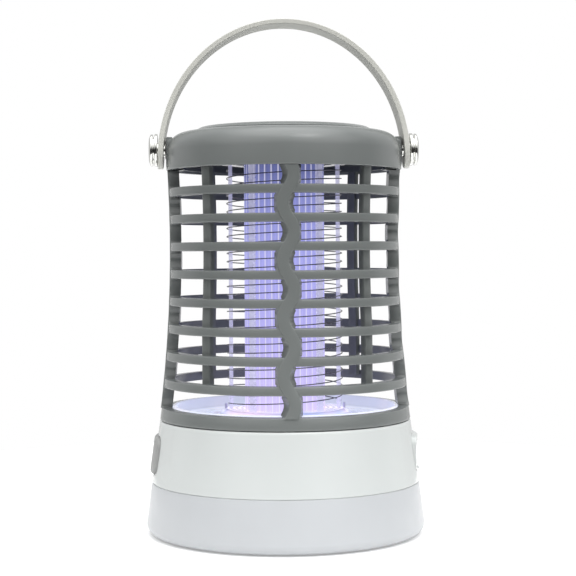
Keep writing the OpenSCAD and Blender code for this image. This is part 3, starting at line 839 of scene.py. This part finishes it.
def handle_strap():
    """Half an ellipse from pivot to pivot, with round tabs, as a grid bent along the curve."""
    rise_out = HANDLE_TOP - STRAP_CENTRE_Z
    rise_in = rise_out - 2.0
    tilt = math.asin((PIVOT_Z - STRAP_CENTRE_Z) / rise_out)
    half = STRAP_W / 2
    edge = 0.2
    stations = []
    tab_steps = 10
    for side in (1, -1):
        row = []
        for k in range(tab_steps + 1):
            v = k / tab_steps
            row.append(("tab", side, v))
        stations += row[::-1] if side == 1 else row
    arc_steps = 96
    middle = [("arc", tilt + (math.pi - 2 * tilt) * k / arc_steps, 0) for k in range(1, arc_steps)]
    stations = stations[: tab_steps + 1] + middle + stations[tab_steps + 1:]
    columns = [-1, -0.985, -0.95, -0.85, -0.6, -0.3, 0, 0.3, 0.6, 0.85, 0.95, 0.985, 1]

    def place(station, u, outside, inset):
        kind = station[0]
        sign = 1 if outside else -1
        width = half - inset
        if kind == "arc":
            t = station[1]
            out = Vector((STRAP_OUT * math.cos(t), 0, STRAP_CENTRE_Z + rise_out * math.sin(t)))
            inn = Vector((STRAP_IN * math.cos(t), 0, STRAP_CENTRE_Z + rise_in * math.sin(t)))
            across = (out - inn) / 2
            mid = (out + inn) / 2
            thick = across.length
            p = mid + across.normalized() * sign * (thick - (edge if inset == 0 else 0))
            return (p.x, width * u, p.z)
        side, v = station[1], station[2]
        # the tab: a half disc below the pivot
        a = math.pi / 2 * u
        y = width * ((1 - v) * u + v * math.sin(a))
        drop = v * width * math.cos(a)
        lean = 0.045 * drop
        x_mid = (STRAP_IN + STRAP_OUT) / 2 - 0.15
        thick = (STRAP_OUT - STRAP_IN) / 2
        x = x_mid + sign * (thick - (edge if inset == 0 else 0)) + lean
        return (side * x, y, PIVOT_Z - drop)

    rows = len(stations)
    cols = len(columns)
    points, faces = [], []
    sheets = {}
    for outside in (True, False):
        for inset in (edge, 0):
            ids = []
            for station in stations:
                line = []
                for u in columns:
                    line.append(len(points))
                    points.append(place(station, u, outside, inset))
                ids.append(line)
            sheets[outside, inset] = ids
        face_ids = sheets[outside, edge]
        for i in range(rows - 1):
            for j in range(cols - 1):
                quad = (face_ids[i][j], face_ids[i][j + 1], face_ids[i + 1][j + 1], face_ids[i + 1][j])
                faces.append(quad if outside else quad[::-1])

    def border(ids):
        loop = [ids[i][0] for i in range(rows)]
        loop += [ids[-1][j] for j in range(1, cols)]
        loop += [ids[i][-1] for i in range(rows - 2, -1, -1)]
        loop += [ids[0][j] for j in range(cols - 2, 0, -1)]
        return loop

    chain = [
        border(sheets[True, edge]), border(sheets[True, 0]), border(sheets[False, 0]), border(sheets[False, edge]),
    ]
    return points, faces + bridge(chain)


def pivot_screw(sign):
    """Shoulder screw: thread, shoulder, flange, waist and a domed head with a socket."""
    x0 = 44.0
    corners = [
        (0, x0, 0), (2, x0, 0.3), (2, 50.9, 0), (3, 50.9, 0.1), (3, 54.7, 0), (7.1, 54.7, 0.25), (7.1, 55.9, 0.3),
        (6.3, 56.15, 0.1), (5.6, 56.15, 0), (5.6, 56.7, 0.1), (6.9, 56.7, 0.2), (6.9, 57.7, 0.55), (5.2, 58.4, 0.5),
        (3.3, 58.4, 0.25), (3.1, 57.6, 0), (0, 57.6, 0),
    ]
    outline = [(p.x, p.y * sign) for p in rounded(corners, 4)]
    return lathe(outline, 64, "X", (0, 0, PIVOT_Z))


def pivot_washer(sign):
    outline = rounded([(3.1, 50.92, 0), (4, 50.92, 0.1), (4, 51.4, 0.15), (3.1, 51.4, 0.1)], 3)
    return lathe([(p.x, p.y * sign) for p in outline], 64, "X", (0, 0, PIVOT_Z))


# ---------- base ----------

PAD_SPREAD = math.radians(30)  # half the angle of the patch of wall round the button or the port
PAD_STEPS = 160
PAD_GAP = 0.4  # between the wall's opening and the pad in it
HOUSING_COLUMNS, HOUSING_LEVELS = 240, 17
POCKET_R = 52.4  # how deep the port's pocket goes, from the axis
SLOT_HALF_W, SLOT_HALF_H = 4.8, 1.8  # the charging slot in the pocket's floor
TROUGH_R, TROUGH_INNER_R, TROUGH_LOW = 51.8, 49.2, 45.6  # the cage's skirt turns in it


def pad_point(grow, a):
    """The point at angle a on the pads' outline, a rectangle with round corners, grown all round."""
    w, h, r = PAD_W / 2 + grow, PAD_H / 2 + grow, max(PAD_CORNER + grow, 0.3)
    c, s = math.cos(a), math.sin(a)
    reach = min(w / max(abs(c), 1e-9), h / max(abs(s), 1e-9))
    if abs(c) * reach > w - r and abs(s) * reach > h - r:
        cy, cz = math.copysign(w - r, c), math.copysign(h - r, s)
        b = c * cy + s * cz
        reach = b + math.sqrt(max(b * b - cy * cy - cz * cz + r * r, 0))
    return Vector((c * reach, s * reach))


def wall_point(side, y, z, depth):
    """A point on the housing's cone at a sideways place and height; side is the sign of x."""
    r = cone_r(z) - depth
    return (side * math.sqrt(max(r * r - y * y, 0)), y, z)


def housing():
    """White cone with an opening on each side, round the button and the port cover."""
    top = HOUSING_TOP
    low, high = SEAM_Z + 1.2, top - 1.6
    points, faces = [], []

    def add(p):
        points.append(p)
        return len(points) - 1

    # the wall between the two patches, and the patches' borders, share these columns
    columns = HOUSING_COLUMNS
    heights = [low + (high - low) * i / (HOUSING_LEVELS - 1) for i in range(HOUSING_LEVELS)]
    grid = [[add(p) for p in circle(cone_r(z), z, columns)] for z in heights]
    half = round(PAD_SPREAD / (2 * math.pi) * columns)
    inside = set()
    for centre in (0, columns // 2):
        inside |= {(centre + k) % columns for k in range(-half, half)}
    for i in range(len(heights) - 1):
        for k in range(columns):
            if k in inside:
                continue
            j = (k + 1) % columns
            faces.append((grid[i][k], grid[i][j], grid[i + 1][j], grid[i + 1][k]))
    for side, centre in ((1, 0), (-1, columns // 2)):
        ks = [(centre + k) % columns for k in range(-half, half + 1)]
        border = [grid[0][k] for k in ks] + [grid[i][ks[-1]] for i in range(1, len(heights))]
        border += [grid[-1][k] for k in ks[-2::-1]] + [grid[i][ks[0]] for i in range(len(heights) - 2, 0, -1)]
        spots = [math.atan2(points[i][2] - PAD_Z, points[i][1]) for i in border]
        rings = [border]
        for grow, depth in ((1.6, 0.0), (0.45, 0.0), (0.12, 0.1), (0.0, 0.4), (0.0, WALL)):
            ring = []
            for a in spots:
                p = pad_point(PAD_GAP + grow, a)
                ring.append(add(wall_point(side, p.x, PAD_Z + p.y, depth)))
            rings.append(ring)
        if side == 1:
            # the port's pocket: its floor, and the charging slot through it
            floor_ring = []
            for a in spots:
                p = pad_point(PAD_GAP, a)
                floor_ring.append(add((math.sqrt(POCKET_R ** 2 - p.x ** 2), p.x, PAD_Z + p.y)))
            rings.append(floor_ring)
            for x in (POCKET_R, POCKET_R - 2.1):
                ring = []
                for a in spots:
                    c, t = math.cos(a), math.sin(a)
                    reach = min(SLOT_HALF_W / max(abs(c), 1e-6), SLOT_HALF_H / max(abs(t), 1e-6))
                    y = c * reach
                    ring.append(add((math.sqrt(x * x - y * y), y, PAD_Z - 0.2 + t * reach)))
                rings.append(ring)
        faces += bridge(rings)
    # top lip and lower edge, closed on the inside by rings of the same columns
    inner_low = SEAM_Z
    profile = [
        (cone_r(top - 0.9), top - 0.9), (cone_r(top) - 0.05, top - 0.35), (cone_r(top) - 0.35, top - 0.05),
        (cone_r(top) - 0.8, top), (TROUGH_R, top), (TROUGH_R, TROUGH_LOW), (TROUGH_INNER_R, TROUGH_LOW),
        (TROUGH_INNER_R, top - 0.6), (7, top - 0.6),
        (7, top - 2.4), (47.2, top - 2.4), (47.2, 43.8), (cone_r(43.8) - WALL, 43.8),
        (cone_r(inner_low) - WALL, inner_low),
        (cone_r(inner_low) - 0.4, inner_low), (cone_r(inner_low) - 0.05, inner_low + 0.3),
    ]
    loops = [grid[-1]] + [[add(p) for p in circle(r, z, columns)] for r, z in profile] + [grid[0]]
    # the inner wall is left open behind the pads, where the CAD pocket and button close it
    inner_wall = 13
    for n, (a, b) in enumerate(zip(loops, loops[1:])):
        for k in range(columns):
            if n == inner_wall and k in inside:
                continue
            j = (k + 1) % columns
            faces.append((a[k], a[j], b[j], b[k]))
    return points, faces


def button():
    """The button: loops from its foot in the wall, over a rounded edge, to a slightly crowned face."""
    crown, round_over = 1.4, 0.8

    def ring(inset, lift):
        turn = [2 * math.pi * k / PAD_STEPS for k in range(PAD_STEPS)]
        return [wall_point(-1, p.x, PAD_Z + p.y, -lift) for p in (pad_point(-inset, a) for a in turn)]

    loops = [ring(0.0, -2.8), ring(0.0, crown - round_over)]
    for degrees in (30, 60, 90):
        a = math.radians(degrees)
        loops.append(ring(round_over * (1 - math.cos(a)), crown - round_over + round_over * math.sin(a)))
    loops += [ring(3.0, crown + 0.03), ring(5.5, crown + 0.06), ring(7.3, crown + 0.06)]
    return lofted(loops)


def diffuser_shell():
    r_edge = 4.2
    corners = [(cone_r(SEAM_Z) - 2.4, SEAM_Z - 0.02, 0), (cone_r(SEAM_Z) - 0.1, SEAM_Z - 0.02, 0.35)]
    corners += arc(BASE_R - r_edge, 0.5 + r_edge, r_edge, 0, -82, 10)
    corners += [
        (55.1, 0.5, 0.2), (55.1, 2.1, 0), (51, 2.1, 0), (51, 4, 0), (55.4, 4, 0.5),
        (BASE_R - 2.6, 6.7, 1), (cone_r(SEAM_Z) - 2.6, SEAM_Z - 2, 0.5), (53.6, SEAM_Z - 2, 0),
        (53.6, SEAM_Z + 2.5, 0.3), (cone_r(SEAM_Z + 2.5) - 2.4, SEAM_Z + 2.5, 0.3),
    ]
    return lathe(rounded(corners, 4))


def feet():
    shapes = []
    for k in range(4):
        a = k * math.pi / 2
        outline = rounded([(0, 0, 0), (5, 0, 0.5), (5, 1.3, 0.1), (0, 1.3, 0)], 3)
        shapes.append(lathe(outline, 48, "Z", (44 * math.cos(a), 44 * math.sin(a), 0)))
    return joined(*shapes)


# ---------- killing grid and lamp ----------

WIRE_R, WIRE_TURN_R = 0.24, 24.9
WIRE_GAP = 3.6
POST_R, POST_SPREAD = 23.35, 52.5
POST_ANGLES = (0, POST_SPREAD, 180 - POST_SPREAD, 180, 180 + POST_SPREAD, -POST_SPREAD)


def dish():
    z0, z1 = DISH_BOTTOM, DISH_TOP
    floor = z0 + 1.2
    corners = [
        (5, z0, 0.2), (DISH_R, z0, 0.4), (DISH_R, z1, 0.6), (DISH_R - 1.3, z1, 0.6), (DISH_R - 1.3, floor + 1.2, 0.8),
        (DISH_R - 2.6, floor, 0.8),
    ]
    # shallow steps in the floor
    for r in (42.0, 36.0):
        corners += [
            (r, floor, 0.1), (r - 0.4, floor - 0.25, 0.1), (r - 1.1, floor - 0.25, 0.1), (r - 1.5, floor, 0.1),
        ]
    corners.append((5, floor, 0.2))
    return lathe(rounded(corners, 4))


def grid_hub():
    z0 = span("grid_base")[0].z
    z1 = span("grid_base")[1].z
    return lathe(rounded([
        (LAMP_R + 0.6, z0 + 0.02, 0.1), (29, z0 + 0.02, 0.3), (29, z0 + 1.5, 0.4), (27, z1 - 1, 0.5),
        (26, z1, 0.4), (LAMP_R + 0.6, z1, 0.3),
    ], 4))


def grid_crown():
    z0, z1 = span("grid_top")[0].z, span("grid_top")[1].z
    return lathe(rounded([(LAMP_R + 0.6, z0, 0.3), (27, z0, 0.4), (27, z1, 0.6), (LAMP_R + 0.6, z1, 0.3)], 4))


def post(angle):
    """A clear post, notched on both sides where the wires cross it."""
    z0, z1 = span("grid_posts")[0].z, span("grid_posts")[1].z
    step = WIRE_GAP / 2
    levels = [(z0, 1.5), (z0 + 1, 1.5)]
    for i in range(int((z1 - z0 - 4) / step)):
        z = z0 + 2 + i * step
        levels += [(z - 0.45, 1.5), (z - 0.2, 1.1), (z + 0.2, 1.1), (z + 0.45, 1.5)]
    levels.append((z1, 1.5))
    a = math.radians(angle)
    loops = []
    for z, half in levels:
        near, far = POST_R - 0.85, POST_R + 0.85
        section = rounded([(near, -half, 0.3), (far, -half, 0.3), (far, half, 0.3), (near, half, 0.3)], 2)
        loops.append([
            (p.x * math.cos(a) - p.y * math.sin(a), p.x * math.sin(a) + p.y * math.cos(a), z) for p in section
        ])
    return lofted(loops)


def winding(start):
    """A round wire wound as a helix."""
    z_start = span("grid_base")[1].z + 2.5
    lead = 2 * WIRE_GAP
    z_end = span("grid_wire_live")[1].z - WIRE_R
    turns = (z_end - z_start) / lead
    steps = int(turns * 72)
    loops = []
    for i in range(steps + 1):
        a = math.radians(start) + 2 * math.pi * turns * i / steps
        z = z_start + lead * turns * i / steps
        loop = []
        for k in range(8):
            b = 2 * math.pi * k / 8
            r = WIRE_TURN_R + WIRE_R * math.cos(b)
            loop.append((r * math.cos(a), r * math.sin(a), z + WIRE_R * math.sin(b)))
        loops.append(loop)
    return lofted(loops)


def lamp_tube():
    """Tube with round vertical ribs outside and a plain bore."""
    per_rib = 12
    count = LAMP_RIBS * per_rib

    def loop(z, inset, bore):
        out = []
        for i in range(count):
            a = 2 * math.pi * i / count
            u = ((i + per_rib / 2) % per_rib) / per_rib * 2 - 1
            r = 14.8 if bore else LAMP_R - 0.85 + 0.85 * math.sqrt(max(0, 1 - u * u)) - inset
            out.append((r * math.cos(a), r * math.sin(a), z))
        return out

    z0, z1 = LAMP_BOTTOM, LAMP_TOP
    levels = [z0 + 0.4 + (z1 - z0 - 0.8) * i / 12 for i in range(13)]
    loops = [loop(z0, 0, True), loop(z0, 0.8, False), loop(z0 + 0.05, 0.4, False)]
    loops += [loop(z, 0, False) for z in levels]
    loops += [loop(z1 - 0.05, 0.4, False), loop(z1, 0.8, False), loop(z1, 0, True)]
    points, faces = lofted(loops, False)
    n = len(loops)
    faces += [((n - 1) * count + i, (n - 1) * count + (i + 1) % count, (i + 1) % count, i) for i in range(count)]
    return points, faces


# ---------- the pieces ----------


def add_pieces():
    build("cage_lattice", *cage_lattice(), GREY, "head", "grey_cage", ["cage"])
    build("cage_wavy_faces", *wavy_faces(), GREY, "head", "grey_cage", ["cage"], 50)
    build("cage_straight_bars", *straight_bars(), GREY, "head", "grey_cage", ["cage"])
    build("cage_ceiling_plate", *cage_ceiling(), GREY, "head", "grey_cage", ["cage"])
    build("cap_shell", *joined(cap_shell(), pivot_lug(1), pivot_lug(-1)), CAP_GREY, "head", "grey_cage", ["cap"])
    build("cap_top_disc", *cap_disc(), CAP_GREY, "head", "grey_cage", ["cap_disc"])
    build("carry_strap", *handle_strap(), STRAP, "carry_handle", "strap_plastic", ["handle"], 30)
    for side, sign in (("left", -1), ("right", 1)):
        build(f"chrome_screw_{side}", *pivot_screw(sign), CHROME, "head", "chrome", [f"pivot_screw_{side}"], 50)
    build("steel_washers", *joined(pivot_washer(1), pivot_washer(-1)), STEEL, "head", "steel", ["pivot_washers"], 50)
    build("white_housing_shell", *housing(), WHITE, "base", "white_housing", ["base_housing"])
    build("milky_lower_shell", *diffuser_shell(), MILK, "base", "milky_diffuser", ["diffuser"])
    build("rubber_feet", *feet(), RUBBER, "base", "foot_rubber", ["feet"], 50)
    build("side_button", *button(), BUTTON, "button", "button_grey", ["power_button"], 60)
    # the dish, the hub and the posts carry a painted glow that stands in for the lamp's light
    build("clear_dish", *dish(), DISH, "base", "clear_plastic", ["floor_dish"])
    build("clear_hub", *grid_hub(), DISH, "base", "clear_plastic", ["grid_base"])
    build("clear_crown", *grid_crown(), CLEAR, "base", "clear_plastic", ["grid_top"])
    posts = joined(*[post(a) for a in POST_ANGLES])
    build("clear_posts", *posts, POST, "base", "clear_plastic", ["grid_posts"], 50)
    build("wire_helix_live", *winding(10), WIRE, "base", "grid_wire", ["grid_wire_live"], 60)
    build("wire_helix_return", *winding(190), WIRE, "base", "grid_wire", ["grid_wire_return"], 60)
    build("lit_lamp_tube", *lamp_tube(), LAMP, "base", "lamp_plastic", ["lamp_tube"], 60)


CAD_PAINT = {
    "bottom_cover": WHITE, "base_screws": STEEL, "night_light_board": BOARD_WHITE,
    "night_light_leds": LED, "board_spacers": STEEL, "main_board": BOARD, "control_chip": BLACK,
    "hv_transformer": TAPE, "hv_capacitors": SLEEVE, "battery_holder": BLACK, "battery_cell": CELL,
    "cell_contacts": STEEL, "charge_board": BOARD, "usb_socket": STEEL, "switch_board": BOARD,
    "tact_switch": BLACK, "grid_leads": LEAD, "uv_board": BOARD_WHITE, "uv_leds": LED, "port_cover": WHITE,
    "port_strap": WHITE, "cap_screws": STEEL,
}


def paint_cad_nodes():
    for name, paint in CAD_PAINT.items():
        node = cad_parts[name]
        node.data.materials.clear()
        node.data.materials.append(paint)


add_camera()
add_stage()
add_pieces()
paint_cad_nodes()
